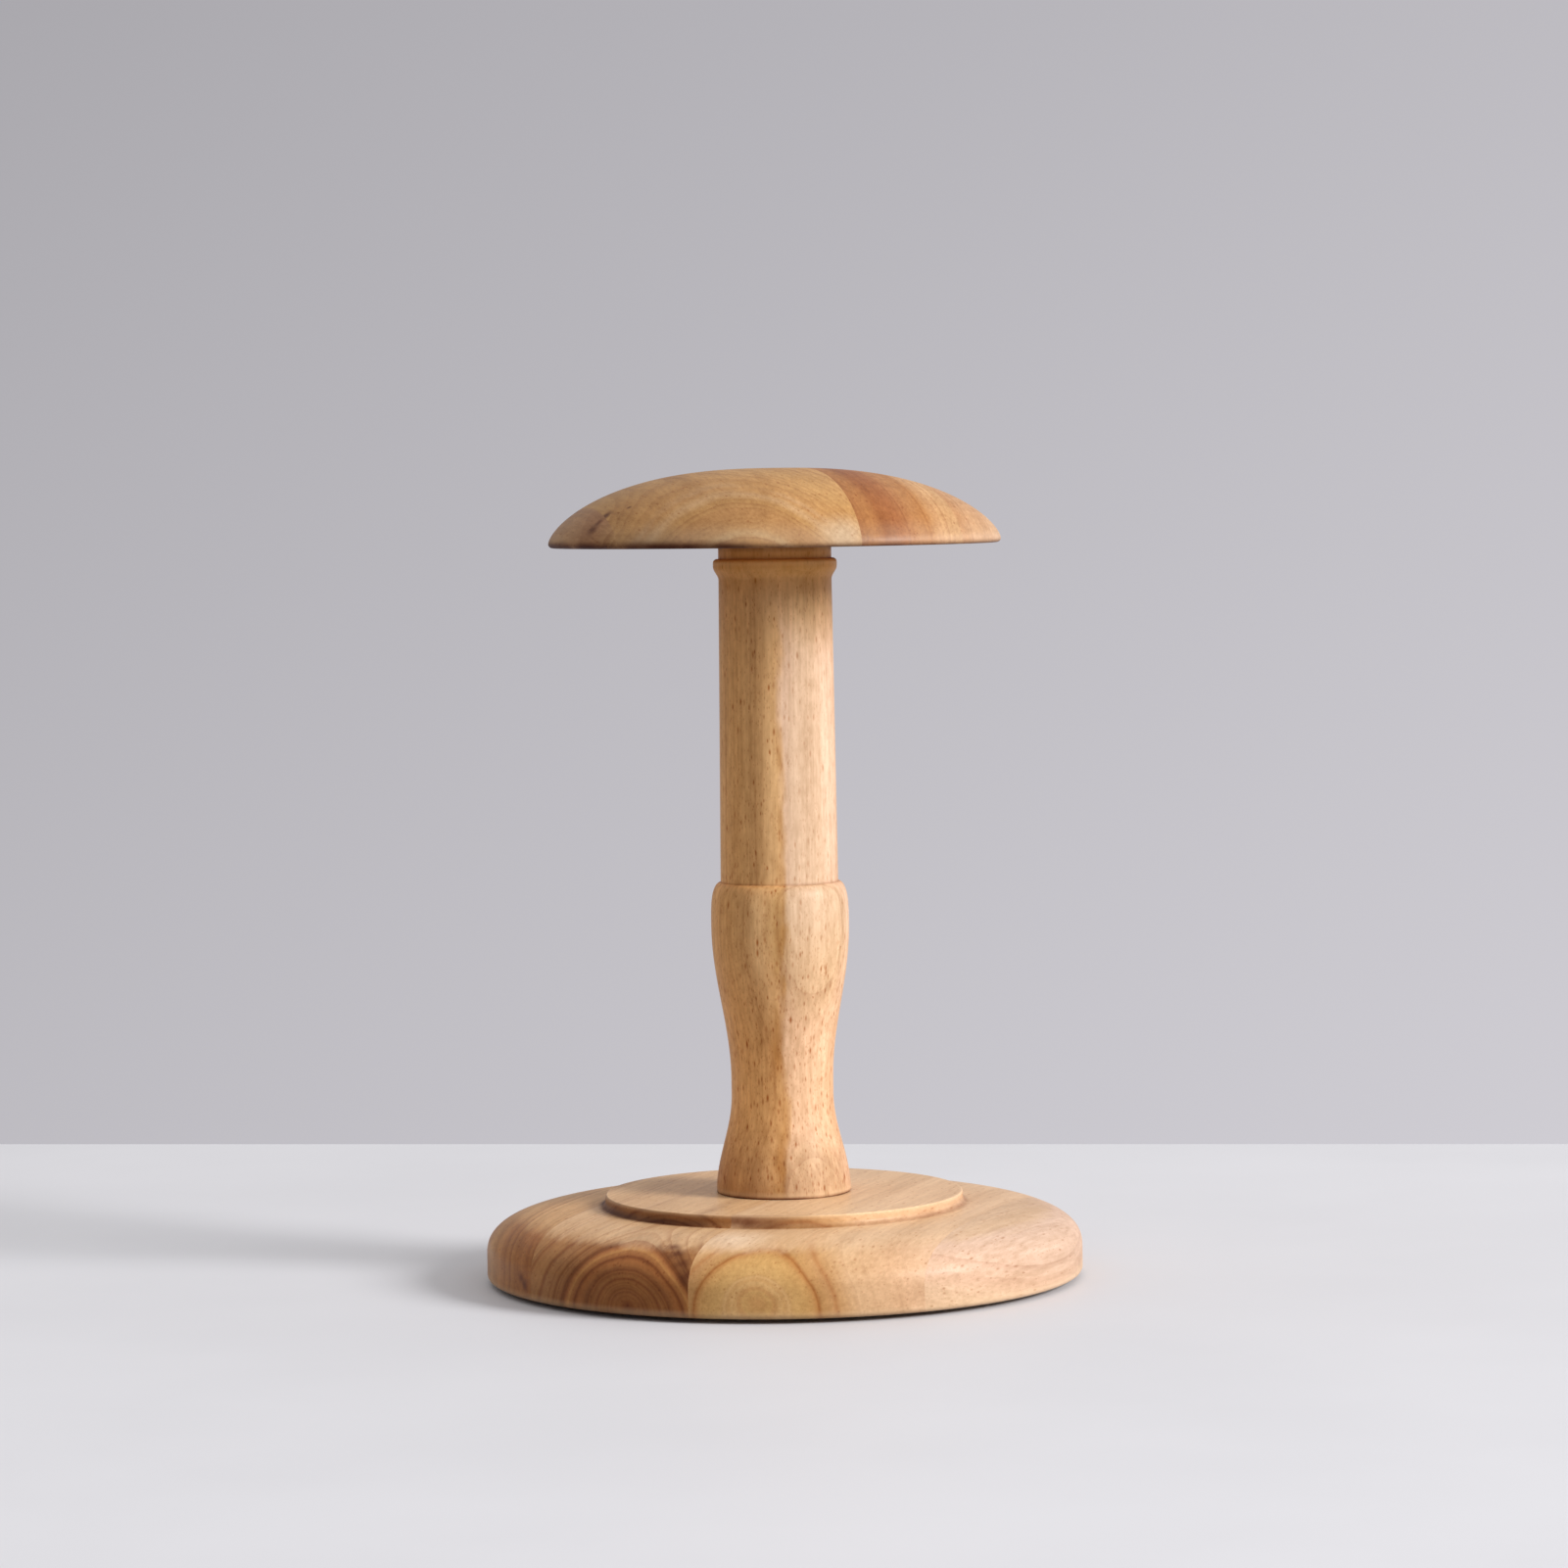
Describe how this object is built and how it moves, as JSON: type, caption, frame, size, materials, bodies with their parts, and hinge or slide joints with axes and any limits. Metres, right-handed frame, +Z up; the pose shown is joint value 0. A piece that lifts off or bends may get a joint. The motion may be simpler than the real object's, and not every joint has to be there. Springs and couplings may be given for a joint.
{
  "type": "wig stand",
  "caption": "Turned wooden wig stand: a low domed head screwed onto a baluster post, which screws into a round stepped base on thin pads.",
  "frame": {"origin": "on the table, under the middle of the base", "axes": "+Z up along the stand's turning axis, -Y towards the viewer, +X to the viewer's right"},
  "size_m": [0.2, 0.2, 0.2717],
  "materials": {
    "base_wood": "satin clear lacquer on edge-glued rubberwood",
    "post_wood": "satin clear lacquer on turned rubberwood",
    "head_wood": "satin clear lacquer on edge-glued rubberwood",
    "plated_steel": "bright zinc plate",
    "pad_foam": "matt dark foam"
  },
  "bodies": {
    "base": {"base_board_1": "base_wood", "base_board_2": "base_wood", "base_board_3": "base_wood", "base_board_4": "base_wood", "base_insert": "plated_steel", "foot_pad_1": "pad_foam", "foot_pad_2": "pad_foam", "foot_pad_3": "pad_foam", "foot_pad_4": "pad_foam"},
    "lower_screw": {"lower_bolt": "plated_steel"},
    "post": {"post": "post_wood", "upper_bolt": "plated_steel"},
    "upper_screw": {"head_insert": "plated_steel"},
    "head": {"head_board_1": "head_wood", "head_board_2": "head_wood", "head_board_3": "head_wood"}
  },
  "joints": [
    {"name": "post_rise", "type": "slide", "parent": "base", "child": "lower_screw", "axis": [0, 0, 1], "range_m": [0, 0.017]},
    {"name": "post_turn", "type": "hinge", "parent": "lower_screw", "child": "post", "pos_m": [0, 0, 0.029], "axis": [0, 0, 1], "range_deg": [0, 4896]},
    {"name": "head_rise", "type": "slide", "parent": "post", "child": "upper_screw", "axis": [0, 0, 1], "range_m": [0, 0.017]},
    {"name": "head_turn", "type": "hinge", "parent": "upper_screw", "child": "head", "pos_m": [0, 0, 0.246], "axis": [0, 0, 1], "range_deg": [0, 4896]}
  ],
  "couplings": [
    {"joint": "post_rise", "follows": "post_turn", "m_per_rad": 0.00019894},
    {"joint": "head_rise", "follows": "head_turn", "m_per_rad": 0.00019894}
  ]
}
